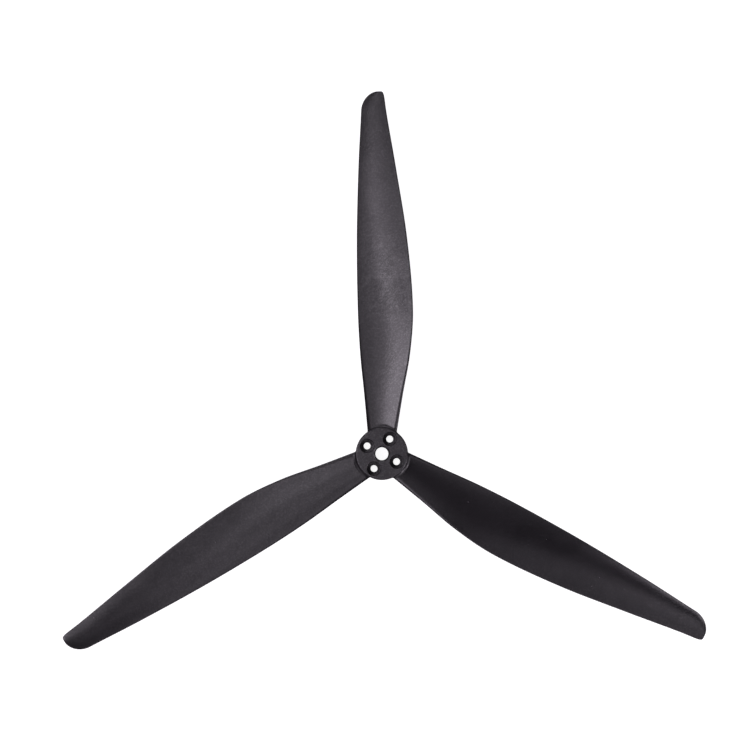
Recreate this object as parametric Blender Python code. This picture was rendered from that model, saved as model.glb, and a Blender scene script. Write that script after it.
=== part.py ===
"""Three-blade fixed-pitch propeller for a multirotor, moulded in black glass-filled nylon.

Metres, with +Z along the spin axis. The origin is the centre of the hub's underside, the face that
sits on the motor. blade_1 points along +Y, and the others follow at equal angles. Seen from above
the propeller turns clockwise, so each blade's leading edge is its clockwise side and rides high.

A blade is drawn along its own axis, a radial line seen from above. "Ahead" is the distance from
that axis towards the leading edge, and "behind" the distance towards the trailing edge.
"""

from math import cos, hypot, pi, radians, sin, sqrt, tau

import bmesh
import bpy
from mathutils import Matrix, Vector

MM = 0.001

# Whole propeller
DIAMETER = 254.0 * MM
PITCH = 127.0 * MM
BLADE_COUNT = 3
ROOT_GAP = 0.3 * MM

# Hub
HUB_DIAMETER = 18.0 * MM
HUB_HEIGHT = 8.0 * MM
HUB_EDGE_RADIUS = 0.5 * MM
BORE_DIAMETER = 4.5 * MM
BORE_CHAMFER_WIDTH = 0.3 * MM
BORE_CHAMFER_DEPTH = 0.24 * MM
LEAD_IN_WIDTH = 0.35 * MM
LEAD_IN_DEPTH = 0.9 * MM

# Screw holes, counterbored from above
SCREW_COUNT = 4
SCREW_CIRCLE_DIAMETER = 11.6 * MM
FIRST_SCREW_ANGLE = radians(62.0)
SCREW_HOLE_DIAMETER = 2.4 * MM
COUNTERBORE_DIAMETER = 4.8 * MM
COUNTERBORE_DEPTH = 3.5 * MM
RIM_CHAMFER = 0.12 * MM
CUTTER_OVERRUN = 1.0 * MM

# Blade
STEEPEST_SLOPE = 0.43
SLOPE_EASING = 6
CAMBER_SHARE = 0.02
CROWN_LEADING_POWER = 1.3
CROWN_TRAILING_POWER = 0.8
TIP_LENGTH = 6.5 * MM
TIP_POINT_BEHIND = 1.3 * MM
TIP_LEADING_POWER = 6
TIP_TRAILING_POWER = 2
ROOT_FILLET = 1.5 * MM
FILLET_MARGIN = 0.15 * MM
ROOT_WRAP_END = 30.0 * MM

# The blade at its design stations, in millimetres:
# radius, width ahead, width behind, height of the blade's axis, greatest thickness, edge radius
BLADE_STATIONS = (
    (9.0, 5.15, 4.95, 3.4, 3.7, 1.25),
    (20.0, 7.1, 6.05, 3.8, 3.4, 0.95),
    (34.0, 9.7, 7.5, 4.1, 3.0, 0.6),
    (50.0, 10.8, 8.4, 4.2, 2.6, 0.45),
    (75.0, 8.8, 8.75, 4.2, 2.1, 0.38),
    (100.0, 4.95, 8.2, 4.2, 1.7, 0.35),
    (119.0, 1.75, 7.3, 4.2, 1.3, 0.32),
    (127.0, 0.7, 7.0, 4.2, 1.1, 0.32),
)
AHEAD, BEHIND, HEIGHT, THICKNESS, EDGE_RADIUS = range(1, 6)
CROWN_PEAK = CROWN_LEADING_POWER / (CROWN_LEADING_POWER + CROWN_TRAILING_POWER)

# Mesh fineness
HUB_SEGMENTS = 72
CUTTER_SEGMENTS = 28
EDGE_ARC_STEPS = 3
SPAN_STEPS = 20
SPAN_CROWDING = 1.5
TIP_STEPS = 9
SKIN_STEPS = 12
SMOOTH_BELOW = radians(32.0)

# Finish
NYLON_COLOUR = (0.012, 0.011, 0.013, 1.0)
NYLON_ROUGHNESS = 0.24


def clear_scene():
    """Remove every object of the open scene."""
    for obj in list(bpy.data.objects):
        bpy.data.objects.remove(obj, do_unlink=True)


def nylon(name):
    """A satin black moulded plastic."""
    material = bpy.data.materials.new(name)
    material.use_nodes = True
    shader = material.node_tree.nodes["Principled BSDF"]
    shader.inputs["Base Color"].default_value = NYLON_COLOUR
    shader.inputs["Roughness"].default_value = NYLON_ROUGHNESS
    shader.inputs["Metallic"].default_value = 0.0
    return material


def finished_mesh(name, bm):
    """Turn a bmesh into mesh data with outward faces, smooth across shallow angles."""
    bmesh.ops.recalc_face_normals(bm, faces=bm.faces)
    mesh = bpy.data.meshes.new(name)
    bm.to_mesh(mesh)
    bm.free()
    mesh.shade_smooth()
    mesh.set_sharp_from_angle(angle=SMOOTH_BELOW)
    return mesh


def add_object(name, mesh):
    """Link a new object that holds the mesh."""
    obj = bpy.data.objects.new(name, mesh)
    bpy.context.scene.collection.objects.link(obj)
    return obj


def turn(bm, profile, segments):
    """Turn a closed outline of (radius, height) points once round Z, and return its vertices."""
    before = set(bm.verts)
    ring = [bm.verts.new((radius, 0.0, height)) for radius, height in profile]
    edges = [bm.edges.new((ring[i - 1], ring[i])) for i in range(len(ring))]
    bmesh.ops.spin(
        bm,
        geom=ring + edges,
        cent=(0.0, 0.0, 0.0),
        axis=(0.0, 0.0, 1.0),
        angle=tau,
        steps=segments,
        use_merge=True,
    )
    made = [vert for vert in bm.verts if vert not in before]
    bmesh.ops.remove_doubles(bm, verts=made, dist=0.001 * MM)
    return [vert for vert in bm.verts if vert not in before]


def corner_arc(centre_radius, centre_height, radius, start):
    """Points of a quarter round, anticlockwise from the angle start in the outline's own plane."""
    angles = [start + i * pi / 2 / EDGE_ARC_STEPS for i in range(EDGE_ARC_STEPS + 1)]
    return [(centre_radius + radius * cos(a), centre_height + radius * sin(a)) for a in angles]


def hub_profile():
    """Half section of the hub: rounded outer edges, and a bore with a chamfer and a lead-in above."""
    bore = BORE_DIAMETER / 2
    rim = HUB_DIAMETER / 2 - HUB_EDGE_RADIUS
    bottom = corner_arc(rim, HUB_EDGE_RADIUS, HUB_EDGE_RADIUS, -pi / 2)
    top = corner_arc(rim, HUB_HEIGHT - HUB_EDGE_RADIUS, HUB_EDGE_RADIUS, 0.0)
    chamfered_bore = [
        (bore + LEAD_IN_WIDTH + BORE_CHAMFER_WIDTH, HUB_HEIGHT),
        (bore + LEAD_IN_WIDTH, HUB_HEIGHT - BORE_CHAMFER_DEPTH),
        (bore, HUB_HEIGHT - BORE_CHAMFER_DEPTH - LEAD_IN_DEPTH),
        (bore, BORE_CHAMFER_DEPTH),
        (bore + BORE_CHAMFER_WIDTH, 0.0),
    ]
    return bottom + top + chamfered_bore


def screw_cutter_profile():
    """Half section of one screw's clearance: shank hole, counterbore and chamfered rims."""
    shank = SCREW_HOLE_DIAMETER / 2
    head = COUNTERBORE_DIAMETER / 2
    flare = RIM_CHAMFER + CUTTER_OVERRUN
    return [
        (0.0, -CUTTER_OVERRUN),
        (shank + flare, -CUTTER_OVERRUN),
        (shank, RIM_CHAMFER),
        (shank, HUB_HEIGHT - COUNTERBORE_DEPTH),
        (head, HUB_HEIGHT - COUNTERBORE_DEPTH),
        (head, HUB_HEIGHT - RIM_CHAMFER),
        (head + flare, HUB_HEIGHT + CUTTER_OVERRUN),
        (0.0, HUB_HEIGHT + CUTTER_OVERRUN),
    ]


def make_screw_cutters():
    """One hidden helper that holds the cutting shape of every screw hole."""
    bm = bmesh.new()
    for index in range(SCREW_COUNT):
        angle = FIRST_SCREW_ANGLE + index * tau / SCREW_COUNT
        radius = SCREW_CIRCLE_DIAMETER / 2
        verts = turn(bm, screw_cutter_profile(), CUTTER_SEGMENTS)
        place = Matrix.Translation((radius * cos(angle), radius * sin(angle), 0.0))
        bmesh.ops.transform(bm, matrix=place, verts=verts)
    cutters = add_object("screw_hole_cutters", finished_mesh("screw_hole_cutters", bm))
    cutters.hide_render = True
    cutters.display_type = "WIRE"
    return cutters


def make_hub():
    """The round centre: bored for the shaft, counterbored for four screws."""
    bm = bmesh.new()
    turn(bm, hub_profile(), HUB_SEGMENTS)
    hub = add_object("hub", finished_mesh("hub", bm))
    holes = hub.modifiers.new("screw_holes", "BOOLEAN")
    holes.operation = "DIFFERENCE"
    holes.solver = "EXACT"
    holes.object = make_screw_cutters()
    hub.data.materials.append(nylon("hub_nylon"))


def station_value(radius, column):
    """Read one column of BLADE_STATIONS at any radius, along a smooth cubic through the stations."""
    rows = [(row[0] * MM, row[column] * MM) for row in BLADE_STATIONS]
    last = len(rows) - 1
    i = max(k for k in range(last) if rows[k][0] <= radius or k == 0)

    def slope(k):
        before, after = rows[max(k - 1, 0)], rows[min(k + 1, last)]
        return (after[1] - before[1]) / (after[0] - before[0])

    span = rows[i + 1][0] - rows[i][0]
    t = (radius - rows[i][0]) / span
    rise = (2 * t**3 - 3 * t**2 + 1) * rows[i][1] + (3 * t**2 - 2 * t**3) * rows[i + 1][1]
    lean = (t**3 - 2 * t**2 + t) * slope(i) + (t**3 - t**2) * slope(i + 1)
    return rise + lean * span


def helix_slope(radius):
    """The blade's slope across its chord: the pitch helix, eased to a limit near the root."""
    helix = PITCH / (tau * radius)
    return (STEEPEST_SLOPE**-SLOPE_EASING + helix**-SLOPE_EASING) ** (-1 / SLOPE_EASING)


def round_off(distance, radius):
    """Share of full thickness at a distance in from an edge rounded to the given radius."""
    inset = min(max(distance / radius, 0.0), 1.0)
    return sqrt(1 - (1 - inset) ** 2)


def planform(radius):
    """Where the leading and trailing edges lie, as distances ahead of the blade's axis."""
    leading = station_value(radius, AHEAD)
    trailing = -station_value(radius, BEHIND)
    into_tip = max(radius - (DIAMETER / 2 - TIP_LENGTH), 0.0) / TIP_LENGTH
    into_tip = min(into_tip, 1.0)
    lead_share = (1 - into_tip**TIP_LEADING_POWER) ** (1 / TIP_LEADING_POWER)
    trail_share = (1 - into_tip**TIP_TRAILING_POWER) ** (1 / TIP_TRAILING_POWER)
    leading = -TIP_POINT_BEHIND + (leading + TIP_POINT_BEHIND) * lead_share
    trailing = -TIP_POINT_BEHIND + (trailing + TIP_POINT_BEHIND) * trail_share
    return leading, trailing


def crown_shape(share):
    """The crown's rise across the chord, before it is scaled to its height."""
    return share**CROWN_LEADING_POWER * (1 - share) ** CROWN_TRAILING_POWER


def half_thickness(radius, share, width):
    """Half the blade's thickness: a round-edged slab with a gentle crown across it."""
    edge = station_value(radius, EDGE_RADIUS)
    crown = crown_shape(share) / crown_shape(CROWN_PEAK)
    slab = edge * round_off(min(share, 1 - share) * width, edge)
    tip = round_off(DIAMETER / 2 - radius, edge)
    return (slab + (station_value(radius, THICKNESS) / 2 - edge) * crown) * tip


def root_fillet(distance, room):
    """Rise of the fillet at a distance from the hub's wall, where the wall leaves it this much room."""
    radius = min(ROOT_FILLET, max(room, 0.0))
    inset = max(radius - distance, 0.0)
    return radius - sqrt(radius**2 - inset**2)


def skin_point(radius, share, side):
    """A point of the blade: share is 0 at the leading edge and 1 at the trailing edge.

    side is 1 on the upper skin and -1 on the lower. Near the root each station bends round the
    spin axis, so that the innermost one follows the hub's wall.
    """
    leading, trailing = planform(radius)
    width = leading - trailing
    ahead = leading - share * width
    root = HUB_DIAMETER / 2 + ROOT_GAP
    unwrapped = min(max((radius - root) / (ROOT_WRAP_END - root), 0.0), 1.0)
    wrap = 1 - unwrapped**2 * (3 - 2 * unwrapped)
    along = radius - wrap * (radius - sqrt(radius**2 - ahead**2))
    camber = 4 * CAMBER_SHARE * width * share * (1 - share)
    middle = station_value(radius, HEIGHT) + ahead * helix_slope(radius) + camber
    half = half_thickness(radius, share, width)
    height = middle + side * half
    if half > 0:
        room = (HUB_HEIGHT - height if side > 0 else height) - FILLET_MARGIN
        height += side * root_fillet(hypot(along, ahead) - HUB_DIAMETER / 2, room)
    return Vector((ahead, along, height))


def skin_shares():
    """Shares of the chord from edge to edge, crowded at both edges."""
    return [(1 - cos(pi * i / SKIN_STEPS)) / 2 for i in range(SKIN_STEPS + 1)]


def section_ring(bm, radius):
    """One closed section: leading edge, upper skin, trailing edge, then back below."""
    shares = skin_shares()
    points = [skin_point(radius, share, 1) for share in shares]
    points += [skin_point(radius, share, -1) for share in shares[-2:0:-1]]
    return [bm.verts.new(point) for point in points]


def section_radii():
    """Where the blade is sectioned: closer together at the root and at the tip."""
    root = HUB_DIAMETER / 2 + ROOT_GAP
    tip_start = DIAMETER / 2 - TIP_LENGTH
    steps = [(i / SPAN_STEPS) ** SPAN_CROWDING for i in range(SPAN_STEPS)]
    inner = [root + (tip_start - root) * step for step in steps]
    turns = [pi / 2 * i / TIP_STEPS for i in range(TIP_STEPS)]
    return inner + [tip_start + TIP_LENGTH * sin(turn_angle) for turn_angle in turns]


def blade_mesh():
    """Loft the sections, close the root along the hub's wall and draw the tip to its outermost point."""
    bm = bmesh.new()
    rings = [section_ring(bm, radius) for radius in section_radii()]
    count = len(rings[0])
    for inner, outer in zip(rings, rings[1:]):
        for i in range(count):
            j = (i + 1) % count
            bm.faces.new((inner[i], inner[j], outer[j], outer[i]))
    root = rings[0]
    for i in range(SKIN_STEPS):
        strip = [root[i], root[i + 1], root[-i - 1], root[-i % count]]
        bm.faces.new(list(dict.fromkeys(strip)))
    tip_radius = DIAMETER / 2
    tip_height = station_value(tip_radius, HEIGHT) - TIP_POINT_BEHIND * helix_slope(tip_radius)
    tip = bm.verts.new((-TIP_POINT_BEHIND, tip_radius, tip_height))
    for i in range(count):
        bm.faces.new((rings[-1][i], rings[-1][(i + 1) % count], tip))
    return finished_mesh("blade", bm)


def make_blades():
    """Equal blades round the hub, each its own object with its own material."""
    for index in range(BLADE_COUNT):
        name = f"blade_{index + 1}"
        blade = add_object(name, blade_mesh())
        blade.rotation_euler.z = index * tau / BLADE_COUNT
        blade.data.materials.append(nylon(f"{name}_nylon"))


def main():
    clear_scene()
    make_hub()
    make_blades()


main()
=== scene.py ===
"""Looks of the three-blade propeller: fine moulded surfaces, nylon, camera, lights and floor.

Everything is in metres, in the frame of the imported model: +Z along the spin axis, the hub's
underside at the origin, blade_1 along +Y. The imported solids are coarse, and the blades stop just
short of the hub. Here each is replaced by a fine surface of the same shape, and the blades' roots
run on to the hub's wall with a moulded fillet, so that the whole reads as one moulding.
"""

from math import cos, pi, radians, sin, sqrt, tau

import bmesh
import bpy
from mathutils import Matrix, Vector


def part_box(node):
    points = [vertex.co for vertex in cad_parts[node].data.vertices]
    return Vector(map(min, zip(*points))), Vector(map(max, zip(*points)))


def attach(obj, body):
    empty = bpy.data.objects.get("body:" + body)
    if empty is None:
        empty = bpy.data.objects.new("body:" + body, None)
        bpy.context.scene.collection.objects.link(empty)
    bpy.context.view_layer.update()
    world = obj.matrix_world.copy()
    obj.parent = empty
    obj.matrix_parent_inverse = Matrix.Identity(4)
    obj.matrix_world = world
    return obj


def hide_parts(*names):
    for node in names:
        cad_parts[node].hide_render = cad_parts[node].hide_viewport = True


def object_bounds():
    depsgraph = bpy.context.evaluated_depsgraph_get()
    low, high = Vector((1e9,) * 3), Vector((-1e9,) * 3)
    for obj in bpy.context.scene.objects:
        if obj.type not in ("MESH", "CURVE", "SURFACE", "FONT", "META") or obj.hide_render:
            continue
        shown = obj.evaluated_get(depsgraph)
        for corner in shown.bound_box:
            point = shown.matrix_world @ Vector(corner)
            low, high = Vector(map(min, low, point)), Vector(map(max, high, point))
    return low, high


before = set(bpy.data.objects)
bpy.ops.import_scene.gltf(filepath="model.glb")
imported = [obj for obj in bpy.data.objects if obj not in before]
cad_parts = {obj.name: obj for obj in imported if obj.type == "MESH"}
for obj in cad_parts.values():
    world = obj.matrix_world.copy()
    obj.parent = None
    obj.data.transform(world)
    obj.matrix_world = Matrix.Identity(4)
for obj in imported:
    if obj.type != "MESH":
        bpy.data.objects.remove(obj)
CAD_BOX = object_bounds()

MM = 0.001
BODY = "root"

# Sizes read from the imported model
HUB_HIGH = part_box("hub")[1]
HUB_RADIUS = HUB_HIGH.y
HUB_HEIGHT = HUB_HIGH.z
TIP_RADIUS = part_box("blade_1")[1].y
BLADE_COUNT = 3

# Hub
HUB_EDGE_RADIUS = 0.5 * MM
BORE_RADIUS = 2.25 * MM
BORE_CHAMFER_WIDTH = 0.3 * MM
BORE_CHAMFER_DEPTH = 0.24 * MM
LEAD_IN_WIDTH = 0.35 * MM
LEAD_IN_DEPTH = 0.9 * MM
SCREW_COUNT = 4
SCREW_CIRCLE_RADIUS = 5.8 * MM
FIRST_SCREW_ANGLE = radians(62.0)
SCREW_HOLE_RADIUS = 1.2 * MM
COUNTERBORE_RADIUS = 2.4 * MM
COUNTERBORE_DEPTH = 3.5 * MM
RIM_CHAMFER = 0.12 * MM
SEAT_ROUNDING = 0.2 * MM
SEAT_FILLET = 0.25 * MM
CUTTER_OVERRUN = 1.0 * MM

# Blade
PITCH = 127.0 * MM
STEEPEST_SLOPE = 0.43
SLOPE_EASING = 6
CAMBER_SHARE = 0.02
CROWN_LEADING_POWER = 1.3
CROWN_TRAILING_POWER = 0.8
TIP_LENGTH = 6.5 * MM
TIP_POINT_BEHIND = 1.3 * MM
TIP_LEADING_POWER = 6
TIP_TRAILING_POWER = 2
ROOT_FILLET = 1.5 * MM
EDGE_FILLET = 0.4 * MM
ROOT_OVERLAP = 0.04 * MM
ROOT_WRAP_START = 9.3 * MM
ROOT_WRAP_END = 30.0 * MM

# The blade at its design stations, in millimetres:
# radius, width ahead, width behind, height of the blade's axis, greatest thickness, edge radius
BLADE_STATIONS = (
    (9.0, 5.15, 4.95, 3.4, 3.7, 1.25),
    (20.0, 7.1, 6.05, 3.8, 3.4, 0.95),
    (34.0, 9.7, 7.5, 4.1, 3.0, 0.6),
    (50.0, 10.8, 8.4, 4.2, 2.6, 0.45),
    (75.0, 8.8, 8.75, 4.2, 2.1, 0.38),
    (100.0, 4.95, 8.2, 4.2, 1.7, 0.35),
    (119.0, 1.75, 7.3, 4.2, 1.3, 0.32),
    (127.0, 0.7, 7.0, 4.2, 1.1, 0.32),
)
AHEAD, BEHIND, HEIGHT, THICKNESS, EDGE_RADIUS = range(1, 6)
CROWN_PEAK = CROWN_LEADING_POWER / (CROWN_LEADING_POWER + CROWN_TRAILING_POWER)

# Mesh fineness
HUB_SEGMENTS = 240
CUTTER_SEGMENTS = 96
ARC_STEPS = 8
SKIN_STEPS = 56
FILLET_STEPS = 14
SPAN_STEPS = 110
SPAN_CROWDING = 1.35
TIP_STEPS = 22
MERGE_DISTANCE = 0.0005 * MM
SMOOTH_BELOW = radians(30.0)

# Camera
FOCAL_LENGTH = 70.9
SENSOR_WIDTH = 36.0
CAMERA_PLACE = Vector((0.001, 0.001, 0.5093))
CAMERA_AIM = Vector((-0.0041, 0.02905, 0.004))
NEAREST_SEEN = 0.05
FARTHEST_SEEN = 20.0

# Floor and backdrop
FLOOR_RADIUS = 6.0
FLOOR_SEGMENTS = 64
FLOOR_COLOUR = (0.4, 0.4, 0.4, 1.0)
FLOOR_GLOW = 0.92
BACKDROP_RADIUS = 7.0
BACKDROP_SEGMENTS = 48
BACKDROP_RINGS = 24
BACKDROP_COLOUR = (0.0, 0.0, 0.0, 1.0)
BACKDROP_GLOW = 1.0
WHITE = (1.0, 1.0, 1.0, 1.0)

# Studio lights: name, azimuth and elevation in degrees, distance, size, power in watts
SOFTBOXES = (
    ("left_high", 180.0, 66.0, 1.2, 0.5, 0.62),
    ("left_middle", 180.0, 49.0, 1.2, 0.6, 0.45),
    ("back_left_high", 150.0, 66.0, 1.2, 0.4, 0.22),
    ("front_left_high", 210.0, 64.0, 1.2, 0.4, 0.14),
    ("front_right", 300.0, 48.0, 1.2, 0.6, 1.0),
    ("front_right_high", 300.0, 66.0, 1.2, 0.5, 0.6),
    ("back_high", 90.0, 64.0, 1.2, 0.46, 0.52),
    ("right_high", 18.0, 65.0, 1.2, 0.4, 0.24),
    ("near_back", 135.0, 70.0, 0.45, 0.24, 0.2),
    ("near_front", 270.0, 70.0, 0.45, 0.24, 0.11),
    ("near_left", 180.0, 30.0, 0.45, 0.24, 0.08),
    ("near_right", 347.0, 46.0, 0.3, 0.12, 0.03),
    ("near_right_low", 15.0, 25.0, 0.31, 0.12, 0.14),
)
LIGHT_TINT = (0.97, 0.89, 1.0)

# Glows of the room: azimuth and elevation in degrees, how tight they are, strength
SKY_GLOWS = (
    (332.0, 0.0, 30.0, 7.5),
    (305.0, 18.0, 12.0, 0.9),
    (270.0, 10.0, 12.0, 0.4),
    (240.0, 10.0, 12.0, 0.6),
    (200.0, 35.0, 12.0, 0.45),
    (194.0, 60.0, 45.0, 5.4),
    (145.0, 45.0, 12.0, 0.33),
    (150.0, 10.0, 12.0, 1.15),
    (92.0, 3.0, 14.0, 2.3),
    (30.0, 4.0, 14.0, 1.3),
)
ROOM_GLOW = 0.03

# Nylon's colours
NYLON_DARK = (0.0070, 0.0064, 0.0075, 1.0)
NYLON_PALE = (0.0100, 0.0092, 0.0106, 1.0)
NYLON_WORN = (0.024, 0.023, 0.025, 1.0)
# The specks' colour: partly the fibres' own paleness, partly a painted glint
SPECK_AND_GLINT_COLOUR = (0.07, 0.067, 0.073, 1.0)
MIDDLE_SHADE = 0.5
CLOUD_SHADE = 0.25
FLOW_SHADE = 0.25

# Its roughness, least and greatest, on the blades, on the hub's top and in the hub's recesses
POLISHED_FINISH = (0.21, 0.24)
TEXTURED_FINISH = (0.38, 0.44)
SUNK_FINISH = (0.13, 0.16)
TEXTURE_FADE = 0.05 * MM

# Its sheen, and how much each pattern adds to it
MIDDLE_SHEEN = 0.5
CLOUD_SHEEN = 0.015
FLOW_SHEEN = 0.17
GRAIN_SHEEN = 0.2

# Patterns of fractal noise: size of the patches, detail, distortion
CLOUDS = (14.0 * MM, 3.0, 0.6)
GRAIN = (0.48 * MM, 2.0, 0.0)
FLOW_PATCHES = (5.0 * MM, 2.0, 1.2)
FLOW_WISPS = (3.0 * MM, 3.0, 1.6)
WEAR_PATCHES = (2.5 * MM, 3.0, 0.0)

# How those patterns are read: the stretch of noise that counts, and the levels it gives
NOISE_MIDDLE = 0.5
CLOUD_CONTRAST = 2.5
GRAIN_RANGE = (0.42, 0.72)
GRAIN_LEVELS = (-0.35, 1.0)
PATCH_RANGE = (0.4, 0.68)
WISP_THINNESS = 0.06
WEAR_RANGE = (0.4, 0.6)
WEAR_LEVELS = (0.2, 1.0)

# The grain's height, how sharp an edge has to be to wear, and how much smoother wear leaves it
GRAIN_HEIGHT = 0.004 * MM
EDGE_SHARPNESS = (0.54, 0.66)
WEAR_POLISH = 0.05

# Flow marks: how they are drawn out, where the melt fronts met, and how far round they are plain
FLOW_ANGLE = radians(42.0)
FLOW_STRETCH = 2.0
WISP_WEIGHT = 0.7
PATCH_WEIGHT = 0.8
FLOW_BASE = -0.3
MEETING_PLACE = (0.007, 0.060, 0.006)
MEETING_REACH = 0.024
MEETING_PLAIN = 0.7
FAINTEST_FLOW = 0.2

# Fibre specks, pale partly in the fibres' own colour and partly as painted glints: the spacing of their
# cells, a speck's inner and outer radius as shares of it, and the stretch of a cell's random number over
# which its speck goes from unseen to plain
SPECK_SPACING = 3.0 * MM
SPECK_SIZES = (0.035, 0.07)
SPECK_CHOICE = (0.5, 1.0)


def station_value(radius, column):
    """Read one column of BLADE_STATIONS at any radius, along a smooth cubic through the stations."""
    rows = [(row[0] * MM, row[column] * MM) for row in BLADE_STATIONS]
    last = len(rows) - 1
    i = max(k for k in range(last) if rows[k][0] <= radius or k == 0)

    def slope(k):
        before, after = rows[max(k - 1, 0)], rows[min(k + 1, last)]
        return (after[1] - before[1]) / (after[0] - before[0])

    span = rows[i + 1][0] - rows[i][0]
    t = (radius - rows[i][0]) / span
    rise = (2 * t**3 - 3 * t**2 + 1) * rows[i][1] + (3 * t**2 - 2 * t**3) * rows[i + 1][1]
    lean = (t**3 - 2 * t**2 + t) * slope(i) + (t**3 - t**2) * slope(i + 1)
    return rise + lean * span


def helix_slope(radius):
    """The blade's slope across its chord: the pitch helix, eased to a limit near the root."""
    helix = PITCH / (tau * radius)
    return (STEEPEST_SLOPE**-SLOPE_EASING + helix**-SLOPE_EASING) ** (-1 / SLOPE_EASING)


def round_off(distance, radius):
    """Share of full thickness at a distance in from an edge rounded to the given radius."""
    inset = min(max(distance / radius, 0.0), 1.0)
    return sqrt(1 - (1 - inset) ** 2)


def crown_shape(share):
    """The crown's rise across the chord, before it is scaled to its height."""
    return share**CROWN_LEADING_POWER * (1 - share) ** CROWN_TRAILING_POWER


class Station:
    """One section of the blade, with everything that is the same all round it."""

    def __init__(self, radius):
        self.radius = radius
        leading = station_value(radius, AHEAD)
        trailing = -station_value(radius, BEHIND)
        into_tip = min(max(radius - (TIP_RADIUS - TIP_LENGTH), 0.0) / TIP_LENGTH, 1.0)
        lead_share = (1 - into_tip**TIP_LEADING_POWER) ** (1 / TIP_LEADING_POWER)
        trail_share = (1 - into_tip**TIP_TRAILING_POWER) ** (1 / TIP_TRAILING_POWER)
        self.leading = -TIP_POINT_BEHIND + (leading + TIP_POINT_BEHIND) * lead_share
        self.trailing = -TIP_POINT_BEHIND + (trailing + TIP_POINT_BEHIND) * trail_share
        self.width = self.leading - self.trailing
        self.axis_height = station_value(radius, HEIGHT)
        self.slope = helix_slope(radius)
        self.edge = station_value(radius, EDGE_RADIUS)
        self.crown = station_value(radius, THICKNESS) / 2 - self.edge
        self.tip = round_off(TIP_RADIUS - radius, self.edge)
        unwrapped = (radius - ROOT_WRAP_START) / (ROOT_WRAP_END - ROOT_WRAP_START)
        unwrapped = min(max(unwrapped, 0.0), 1.0)
        self.wrap = 1 - unwrapped**2 * (3 - 2 * unwrapped)

    def middle(self, share):
        """Height of the middle of the blade's thickness."""
        ahead = self.leading - share * self.width
        camber = 4 * CAMBER_SHARE * self.width * share * (1 - share)
        return self.axis_height + ahead * self.slope + camber

    def half_thickness(self, share):
        """Half the thickness: a round-edged slab with a gentle crown across it."""
        crown = crown_shape(share) / crown_shape(CROWN_PEAK)
        slab = self.edge * round_off(min(share, 1 - share) * self.width, self.edge)
        return (slab + self.crown * crown) * self.tip

    def point(self, share, side):
        """A point of the skin as (ahead, height): share 0 is the leading edge, 1 the trailing."""
        ahead = self.leading - share * self.width
        return Vector((ahead, self.middle(share) + side * self.half_thickness(share)))

    def outline(self):
        """The closed section: leading edge, upper skin, trailing edge, then back below."""
        shares = [(1 - cos(pi * i / SKIN_STEPS)) / 2 for i in range(SKIN_STEPS + 1)]
        upper = [self.point(share, 1) for share in shares]
        lower = [self.point(share, -1) for share in shares[-2:0:-1]]
        return upper + lower

    def along(self, ahead):
        """How far out a point lies: near the root the section bends round the spin axis."""
        bend = self.radius - sqrt(self.radius**2 - ahead**2)
        return self.radius - self.wrap * bend


def outward_normals(outline):
    """Unit normals of a closed outline of 2-D points, pointing out of it."""
    count = len(outline)
    normals = []
    for i in range(count):
        step = outline[(i + 1) % count] - outline[i - 1]
        normals.append(Vector((step.y, -step.x)).normalized())
    return normals


def fillet_rise(distance, radius):
    """How far a fillet stands off the skin at a distance from the hub's wall."""
    inset = max(radius - distance, 0.0)
    return radius - sqrt(radius**2 - inset**2)


def filleted(station, outline):
    """The outline near the hub, grown by the fillet where the hub's wall leaves it room."""
    distance = max(station.radius - HUB_RADIUS, 0.0)
    if distance >= ROOT_FILLET:
        return outline
    grown = []
    for point, normal in zip(outline, outward_normals(outline)):
        radius = EDGE_FILLET + (ROOT_FILLET - EDGE_FILLET) * normal.y**2
        wall = HUB_HEIGHT - HUB_EDGE_RADIUS - point.y if normal.y > 0 else point.y - HUB_EDGE_RADIUS
        radius = min(radius, max(wall, 0.0))
        grown.append(point + normal * fillet_rise(distance, radius) if radius > 0 else point)
    return grown


def section_radii():
    """Where the blade is sectioned: densest in the root fillet and at the tip."""
    turns = [pi / 2 * i / FILLET_STEPS for i in range(FILLET_STEPS)]
    fillet = [HUB_RADIUS + ROOT_FILLET * (1 - cos(angle)) for angle in turns]
    inner_end = HUB_RADIUS + ROOT_FILLET
    tip_start = TIP_RADIUS - TIP_LENGTH
    steps = [(i / SPAN_STEPS) ** SPAN_CROWDING for i in range(SPAN_STEPS)]
    inner = [inner_end + (tip_start - inner_end) * step for step in steps]
    turns = [pi / 2 * i / TIP_STEPS for i in range(TIP_STEPS)]
    tip = [tip_start + TIP_LENGTH * sin(angle) for angle in turns]
    return [HUB_RADIUS - ROOT_OVERLAP] + fillet + inner + tip


def shade(mesh):
    """Shade a mesh smooth, except where its faces meet at more than a shallow angle."""
    mesh.shade_smooth()
    mesh.set_sharp_from_angle(angle=SMOOTH_BELOW)


def finished_mesh(name, bm):
    """Turn a bmesh into mesh data with outward faces, smooth across shallow angles."""
    bmesh.ops.recalc_face_normals(bm, faces=bm.faces)
    mesh = bpy.data.meshes.new(name)
    bm.to_mesh(mesh)
    bm.free()
    shade(mesh)
    return mesh


def add_object(name, data):
    """Link a new object that holds a mesh, a light or a camera."""
    obj = bpy.data.objects.new(name, data)
    bpy.context.scene.collection.objects.link(obj)
    return obj


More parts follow.
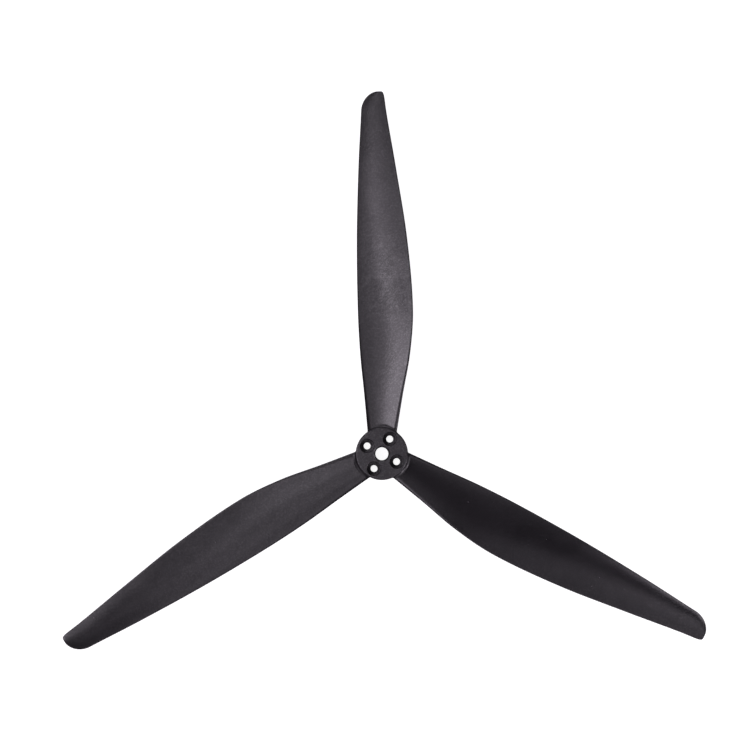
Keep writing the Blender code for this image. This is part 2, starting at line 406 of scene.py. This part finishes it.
def blade_mesh():
    """Loft the fine sections from inside the hub's wall to the tip."""
    bm = bmesh.new()
    rings = []
    for radius in section_radii():
        station = Station(radius)
        points = filleted(station, station.outline())
        rings.append([bm.verts.new((p.x, station.along(p.x), p.y)) for p in points])
    count = len(rings[0])
    for inner, outer in zip(rings, rings[1:]):
        for i in range(count):
            j = (i + 1) % count
            bm.faces.new((inner[i], inner[j], outer[j], outer[i]))
    root = rings[0]
    # The root's cap is a row of strips; the first and last come to a point, with a corner fewer
    for i in range(SKIN_STEPS):
        strip = [root[i], root[i + 1], root[-i - 1], root[-i % count]]
        bm.faces.new(list(dict.fromkeys(strip)))
    height = station_value(TIP_RADIUS, HEIGHT) - TIP_POINT_BEHIND * helix_slope(TIP_RADIUS)
    tip = bm.verts.new((-TIP_POINT_BEHIND, TIP_RADIUS, height))
    for i in range(count):
        bm.faces.new((rings[-1][i], rings[-1][(i + 1) % count], tip))
    return finished_mesh("blade_moulding", bm)


def turn(bm, profile, segments):
    """Turn a closed outline of (radius, height) points once round Z, and return its vertices."""
    before = set(bm.verts)
    ring = [bm.verts.new((radius, 0.0, height)) for radius, height in profile]
    edges = [bm.edges.new((ring[i - 1], ring[i])) for i in range(len(ring))]
    bmesh.ops.spin(
        bm,
        geom=ring + edges,
        cent=(0.0, 0.0, 0.0),
        axis=(0.0, 0.0, 1.0),
        angle=tau,
        steps=segments,
        use_merge=True,
    )
    made = [vert for vert in bm.verts if vert not in before]
    bmesh.ops.remove_doubles(bm, verts=made, dist=MERGE_DISTANCE)
    return [vert for vert in bm.verts if vert not in before]


def arc(centre_radius, centre_height, radius, start, sweep):
    """Points of an arc in a turned profile's own plane."""
    angles = [start + sweep * i / ARC_STEPS for i in range(ARC_STEPS + 1)]
    return [(centre_radius + radius * cos(a), centre_height + radius * sin(a)) for a in angles]


def hub_profile():
    """Half section of the hub: rounded outer edges, and a bore with a chamfer and a lead-in."""
    rim = HUB_RADIUS - HUB_EDGE_RADIUS
    bottom = arc(rim, HUB_EDGE_RADIUS, HUB_EDGE_RADIUS, -pi / 2, pi / 2)
    top = arc(rim, HUB_HEIGHT - HUB_EDGE_RADIUS, HUB_EDGE_RADIUS, 0.0, pi / 2)
    bore = [
        (BORE_RADIUS + LEAD_IN_WIDTH + BORE_CHAMFER_WIDTH, HUB_HEIGHT),
        (BORE_RADIUS + LEAD_IN_WIDTH, HUB_HEIGHT - BORE_CHAMFER_DEPTH),
        (BORE_RADIUS, HUB_HEIGHT - BORE_CHAMFER_DEPTH - LEAD_IN_DEPTH),
        (BORE_RADIUS, BORE_CHAMFER_DEPTH),
        (BORE_RADIUS + BORE_CHAMFER_WIDTH, 0.0),
    ]
    return bottom + top + bore


def screw_cutter_profile():
    """Half section of one screw's clearance, with chamfered rims and a filleted head seat."""
    seat = HUB_HEIGHT - COUNTERBORE_DEPTH
    flare = RIM_CHAMFER + CUTTER_OVERRUN
    seat_rim = arc(SCREW_HOLE_RADIUS + SEAT_ROUNDING, seat - SEAT_ROUNDING, SEAT_ROUNDING, pi, -pi / 2)
    inner = COUNTERBORE_RADIUS - SEAT_FILLET
    seat_fillet = arc(inner, seat + SEAT_FILLET, SEAT_FILLET, -pi / 2, pi / 2)
    return (
        [(0.0, -CUTTER_OVERRUN), (SCREW_HOLE_RADIUS + flare, -CUTTER_OVERRUN)]
        + [(SCREW_HOLE_RADIUS, RIM_CHAMFER)]
        + seat_rim
        + seat_fillet
        + [(COUNTERBORE_RADIUS, HUB_HEIGHT - RIM_CHAMFER)]
        + [(COUNTERBORE_RADIUS + flare, HUB_HEIGHT + CUTTER_OVERRUN), (0.0, HUB_HEIGHT + CUTTER_OVERRUN)]
    )


def make_screw_cutters():
    """The cutting shape of every screw hole, as one helper object."""
    bm = bmesh.new()
    for index in range(SCREW_COUNT):
        angle = FIRST_SCREW_ANGLE + index * tau / SCREW_COUNT
        verts = turn(bm, screw_cutter_profile(), CUTTER_SEGMENTS)
        place = Matrix.Translation(
            (SCREW_CIRCLE_RADIUS * cos(angle), SCREW_CIRCLE_RADIUS * sin(angle), 0.0)
        )
        bmesh.ops.transform(bm, matrix=place, verts=verts)
    return add_object("screw_hole_cutters", finished_mesh("screw_hole_cutters", bm))


def bake_modifiers(obj):
    """Replace an object's mesh with what its modifiers make of it."""
    graph = bpy.context.evaluated_depsgraph_get()
    made = bpy.data.meshes.new_from_object(obj.evaluated_get(graph))
    obj.modifiers.clear()
    obj.data = made


def make_hub(material):
    """The hub's fine surface, with its screw holes cut and its flat faces kept flat in shading."""
    bm = bmesh.new()
    turn(bm, hub_profile(), HUB_SEGMENTS)
    hub = add_object("hub_moulding", finished_mesh("hub_moulding", bm))
    cutters = make_screw_cutters()
    holes = hub.modifiers.new("screw_holes", "BOOLEAN")
    holes.operation = "DIFFERENCE"
    holes.solver = "EXACT"
    holes.object = cutters
    bake_modifiers(hub)
    bpy.data.objects.remove(cutters)
    shade(hub.data)
    weighted = hub.modifiers.new("flat_faces", "WEIGHTED_NORMAL")
    weighted.keep_sharp = True
    hub.data.materials.clear()
    hub.data.materials.append(material)
    return hub


def make_blades(material):
    """Three equal blades, each turned to its place round the hub."""
    blades = []
    for index in range(BLADE_COUNT):
        blade = add_object(f"blade_{index + 1}_moulding", blade_mesh())
        blade.data.transform(Matrix.Rotation(index * tau / BLADE_COUNT, 4, "Z"))
        blade.data.materials.append(material)
        blades.append(blade)
    return blades


def draw_inside(pieces):
    """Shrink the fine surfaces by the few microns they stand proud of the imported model's box."""
    points = [vert.co for piece in pieces for vert in piece.data.vertices]
    factors = []
    for axis in range(3):
        reach = [point[axis] for point in points]
        proud = max(reach) / CAD_BOX[1][axis]
        if CAD_BOX[0][axis] < 0:
            proud = max(proud, min(reach) / CAD_BOX[0][axis])
        factors.append(1 / max(proud, 1.0))
    for piece in pieces:
        piece.data.transform(Matrix.Diagonal((*factors, 1.0)))


def add_node(tree, kind, **settings):
    """Add a shader node with the given properties."""
    node = tree.nodes.new(kind)
    for name, value in settings.items():
        setattr(node, name, value)
    return node


def noise(tree, coords, size, detail, distortion):
    """Fractal noise whose patches are about the given size across."""
    node = add_node(tree, "ShaderNodeTexNoise")
    node.inputs["Scale"].default_value = 1 / size
    node.inputs["Detail"].default_value = detail
    node.inputs["Distortion"].default_value = distortion
    tree.links.new(coords, node.inputs["Vector"])
    return node.outputs["Fac"]


def remap(tree, value, low, high, to_low, to_high):
    """Carry a value from one range to another, smoothly and without leaving the second."""
    node = add_node(tree, "ShaderNodeMapRange", interpolation_type="SMOOTHSTEP")
    for name, limit in (("From Min", low), ("From Max", high), ("To Min", to_low), ("To Max", to_high)):
        node.inputs[name].default_value = limit
    tree.links.new(value, node.inputs["Value"])
    return node.outputs["Result"]


def combine(tree, operation, first, second=0.0):
    """One arithmetic step on a value, and on a second value or plain number where it takes two."""
    node = add_node(tree, "ShaderNodeMath", operation=operation)
    tree.links.new(first, node.inputs[0])
    if isinstance(second, float):
        node.inputs[1].default_value = second
    else:
        tree.links.new(second, node.inputs[1])
    return node.outputs["Value"]


def weighted_sum(tree, base, parts):
    """A base number plus each part times its weight."""
    total = combine(tree, "MULTIPLY", parts[0][0], parts[0][1])
    for part, weight in parts[1:]:
        total = combine(tree, "ADD", total, combine(tree, "MULTIPLY", part, weight))
    return combine(tree, "ADD", total, base)


def nearness(tree, coords, centre, reach):
    """1 at a point of the model, falling smoothly to 0 at a distance from it."""
    node = add_node(tree, "ShaderNodeVectorMath", operation="DISTANCE")
    tree.links.new(coords, node.inputs[0])
    node.inputs[1].default_value = centre
    return remap(tree, node.outputs["Value"], 0.0, reach, 1.0, 0.0)


def fibre_specks_and_glints(tree, coords):
    """1 on the few specks where a glass fibre's end shows, pale partly in its own colour and partly as a
    painted glint, and 0 elsewhere.
    """
    cells = add_node(tree, "ShaderNodeTexVoronoi")
    cells.inputs["Scale"].default_value = 1 / SPECK_SPACING
    tree.links.new(coords, cells.inputs["Vector"])
    spot = remap(tree, cells.outputs["Distance"], *SPECK_SIZES, 1.0, 0.0)
    chance = add_node(tree, "ShaderNodeSeparateColor")
    tree.links.new(cells.outputs["Color"], chance.inputs["Color"])
    chosen = remap(tree, chance.outputs["Red"], *SPECK_CHOICE, 0.0, 1.0)
    return combine(tree, "MULTIPLY", spot, chosen)


def colour_mix(tree, share, low, high):
    """A colour between two, by a share."""
    node = add_node(tree, "ShaderNodeMix", data_type="RGBA")
    tree.links.new(share, node.inputs["Factor"])
    if isinstance(low, tuple):
        node.inputs["A"].default_value = low
    else:
        tree.links.new(low, node.inputs["A"])
    node.inputs["B"].default_value = high
    return node.outputs["Result"]


def worn_edges(tree, coords):
    """1 where a sharp outer edge is rubbed smooth, broken up into patches."""
    sharpness = add_node(tree, "ShaderNodeNewGeometry").outputs["Pointiness"]
    edges = remap(tree, sharpness, *EDGE_SHARPNESS, 0.0, 1.0)
    patches = remap(tree, noise(tree, coords, *WEAR_PATCHES), *WEAR_RANGE, *WEAR_LEVELS)
    return combine(tree, "MULTIPLY", edges, patches)


def make_clouds(tree, coords):
    """Broad soft patches from -1 to 1."""
    reach = NOISE_MIDDLE / CLOUD_CONTRAST
    limits = (NOISE_MIDDLE - reach, NOISE_MIDDLE + reach)
    return remap(tree, noise(tree, coords, *CLOUDS), *limits, -1.0, 1.0)


def flow_marks(tree, coords):
    """Pale wisps: plain to see where the melt fronts met, and faint elsewhere."""
    drawn_out = add_node(tree, "ShaderNodeMapping", vector_type="TEXTURE")
    tree.links.new(coords, drawn_out.inputs["Vector"])
    drawn_out.inputs["Rotation"].default_value = (0.0, 0.0, FLOW_ANGLE)
    drawn_out.inputs["Scale"].default_value = (FLOW_STRETCH, 1.0, 1.0)
    along = drawn_out.outputs["Vector"]
    patches = remap(tree, noise(tree, along, *FLOW_PATCHES), *PATCH_RANGE, 0.0, 1.0)
    level = combine(tree, "SUBTRACT", noise(tree, along, *FLOW_WISPS), NOISE_MIDDLE)
    wisps = remap(tree, combine(tree, "ABSOLUTE", level), 0.0, WISP_THINNESS, 1.0, 0.0)
    marks = weighted_sum(tree, FLOW_BASE, ((wisps, WISP_WEIGHT), (patches, PATCH_WEIGHT)))
    near = nearness(tree, coords, MEETING_PLACE, MEETING_REACH)
    plainness = remap(tree, near, 0.0, MEETING_PLAIN, FAINTEST_FLOW, 1.0)
    return combine(tree, "MULTIPLY", marks, plainness)


def roughness_between(tree, clouds, limits):
    """A roughness that wanders between two limits with the clouds."""
    return remap(tree, clouds, -1.0, 1.0, *limits)


def hub_roughness(tree, coords, clouds):
    """Coarse on the hub's flat top, whose mould was left textured, and smooth below it."""
    axes = add_node(tree, "ShaderNodeSeparateXYZ")
    tree.links.new(coords, axes.inputs["Vector"])
    on_top = remap(tree, axes.outputs["Z"], HUB_HEIGHT - TEXTURE_FADE, HUB_HEIGHT, 0.0, 1.0)
    mix = add_node(tree, "ShaderNodeMix", data_type="FLOAT")
    tree.links.new(on_top, mix.inputs["Factor"])
    tree.links.new(roughness_between(tree, clouds, SUNK_FINISH), mix.inputs["A"])
    tree.links.new(roughness_between(tree, clouds, TEXTURED_FINISH), mix.inputs["B"])
    return mix.outputs["Result"]


def make_nylon(name, textured_top):
    """Satin black glass-filled nylon: clouds, flow marks, pale fibre specks that also carry painted
    glints, and a fine grain.
    """
    material = bpy.data.materials.new(name)
    material.use_nodes = True
    tree = material.node_tree
    shader = tree.nodes["Principled BSDF"]
    coords = add_node(tree, "ShaderNodeTexCoord").outputs["Object"]
    clouds = make_clouds(tree, coords)
    grain = remap(tree, noise(tree, coords, *GRAIN), *GRAIN_RANGE, *GRAIN_LEVELS)
    flow = flow_marks(tree, coords)
    wear = worn_edges(tree, coords)

    paleness = weighted_sum(tree, MIDDLE_SHADE, ((clouds, CLOUD_SHADE), (flow, FLOW_SHADE)))
    colour = colour_mix(tree, paleness, NYLON_DARK, NYLON_PALE)
    colour = colour_mix(tree, wear, colour, NYLON_WORN)
    # Pale fibre specks in the base colour: partly the fibres' own colour, partly painted glints
    colour = colour_mix(tree, fibre_specks_and_glints(tree, coords), colour, SPECK_AND_GLINT_COLOUR)
    tree.links.new(colour, shader.inputs["Base Color"])

    if textured_top:
        roughness = hub_roughness(tree, coords, clouds)
    else:
        roughness = roughness_between(tree, clouds, POLISHED_FINISH)
    rubbed = combine(tree, "MULTIPLY", wear, WEAR_POLISH)
    tree.links.new(combine(tree, "SUBTRACT", roughness, rubbed), shader.inputs["Roughness"])

    patterns = ((clouds, CLOUD_SHEEN), (flow, FLOW_SHEEN), (grain, GRAIN_SHEEN))
    sheen = weighted_sum(tree, MIDDLE_SHEEN, patterns)
    tree.links.new(sheen, shader.inputs["Specular IOR Level"])

    bump = add_node(tree, "ShaderNodeBump")
    bump.inputs["Strength"].default_value = 1.0
    bump.inputs["Distance"].default_value = GRAIN_HEIGHT
    tree.links.new(grain, bump.inputs["Height"])
    tree.links.new(bump.outputs["Normal"], shader.inputs["Normal"])
    return material


def plain_glow(name, colour, glow):
    """A dull surface that also gives off its own even light."""
    material = bpy.data.materials.new(name)
    material.use_nodes = True
    shader = material.node_tree.nodes["Principled BSDF"]
    shader.inputs["Base Color"].default_value = colour
    shader.inputs["Roughness"].default_value = 1.0
    shader.inputs["Specular IOR Level"].default_value = 0.0
    shader.inputs["Emission Color"].default_value = WHITE
    shader.inputs["Emission Strength"].default_value = glow
    return material


def stage_object(name, bm, material):
    """Add a piece of the studio that the camera sees but that doesn't light the propeller."""
    mesh = bpy.data.meshes.new(name)
    bm.to_mesh(mesh)
    bm.free()
    mesh.materials.append(material)
    obj = add_object(name, mesh)
    obj.visible_diffuse = False
    obj.visible_glossy = False
    obj.visible_shadow = False


def make_studio():
    """A wide pale floor under the hub, inside an even white backdrop."""
    bm = bmesh.new()
    bmesh.ops.create_circle(bm, cap_ends=True, segments=FLOOR_SEGMENTS, radius=FLOOR_RADIUS)
    stage_object("floor", bm, plain_glow("pale_floor", FLOOR_COLOUR, FLOOR_GLOW))
    bm = bmesh.new()
    bmesh.ops.create_uvsphere(
        bm, u_segments=BACKDROP_SEGMENTS, v_segments=BACKDROP_RINGS, radius=BACKDROP_RADIUS
    )
    stage_object("backdrop", bm, plain_glow("white_backdrop", BACKDROP_COLOUR, BACKDROP_GLOW))


def make_camera():
    """A camera straight above the hub, aimed near the middle of the propeller's outline."""
    data = bpy.data.cameras.new("camera")
    data.lens = FOCAL_LENGTH
    data.sensor_width = SENSOR_WIDTH
    data.clip_start = NEAREST_SEEN
    data.clip_end = FARTHEST_SEEN
    camera = add_object("camera", data)
    back = (CAMERA_PLACE - CAMERA_AIM).normalized()
    right = Vector((0.0, 1.0, 0.0)).cross(back).normalized()
    up = back.cross(right)
    turned = Matrix((right, up, back)).transposed().to_4x4()
    camera.matrix_world = Matrix.Translation(CAMERA_PLACE) @ turned
    bpy.context.scene.camera = camera


def direction(azimuth, elevation):
    """A unit vector from degrees round +Z, anticlockwise from +X, and degrees up."""
    turned, lift = radians(azimuth), radians(elevation)
    return Vector((cos(turned) * cos(lift), sin(turned) * cos(lift), sin(lift)))


def make_softbox(name, azimuth, elevation, distance, size, power):
    """A square soft light that faces the hub."""
    data = bpy.data.lights.new(name, "AREA")
    data.size = size
    data.energy = power
    data.color = LIGHT_TINT
    light = add_object(name, data)
    away = direction(azimuth, elevation)
    light.location = away * distance
    light.rotation_mode = "QUATERNION"
    light.rotation_quaternion = away.to_track_quat("Z", "Y")
    light.visible_camera = False


def sky_glow(tree, facing, azimuth, elevation, tightness, strength):
    """Light that is strongest from one direction and fades smoothly away from it."""
    towards = add_node(tree, "ShaderNodeVectorMath", operation="DOT_PRODUCT")
    tree.links.new(facing, towards.inputs[0])
    towards.inputs[1].default_value = direction(azimuth, elevation)
    away = combine(tree, "SUBTRACT", towards.outputs["Value"], 1.0)
    fading = combine(tree, "MULTIPLY", away, tightness)
    return combine(tree, "MULTIPLY", combine(tree, "EXPONENT", fading), strength)


def make_sky():
    """A dim room with broad soft glows round its walls."""
    world = bpy.data.worlds.new("studio")
    world.use_nodes = True
    tree = world.node_tree
    background = tree.nodes["Background"]
    background.inputs["Color"].default_value = (*LIGHT_TINT, 1.0)
    facing = add_node(tree, "ShaderNodeTexCoord").outputs["Generated"]
    total = sky_glow(tree, facing, *SKY_GLOWS[0])
    for glow in SKY_GLOWS[1:]:
        total = combine(tree, "ADD", total, sky_glow(tree, facing, *glow))
    tree.links.new(combine(tree, "ADD", total, ROOM_GLOW), background.inputs["Strength"])
    bpy.context.scene.world = world


def make_lights():
    """Soft studio light: boxes overhead and to the sides, in a dim glowing room."""
    for softbox in SOFTBOXES:
        make_softbox(*softbox)
    make_sky()


def main():
    """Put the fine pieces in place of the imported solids, and set up the studio round them."""
    bpy.context.scene.view_settings.view_transform = "Standard"
    hub = make_hub(make_nylon("hub_nylon", True))
    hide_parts("hub")
    blades = make_blades(make_nylon("blade_nylon", False))
    draw_inside(blades)
    for blade in blades:
        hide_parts(blade.name.removesuffix("_moulding"))
    for piece in [hub] + blades:
        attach(piece, BODY)
    make_studio()
    make_camera()
    make_lights()


main()
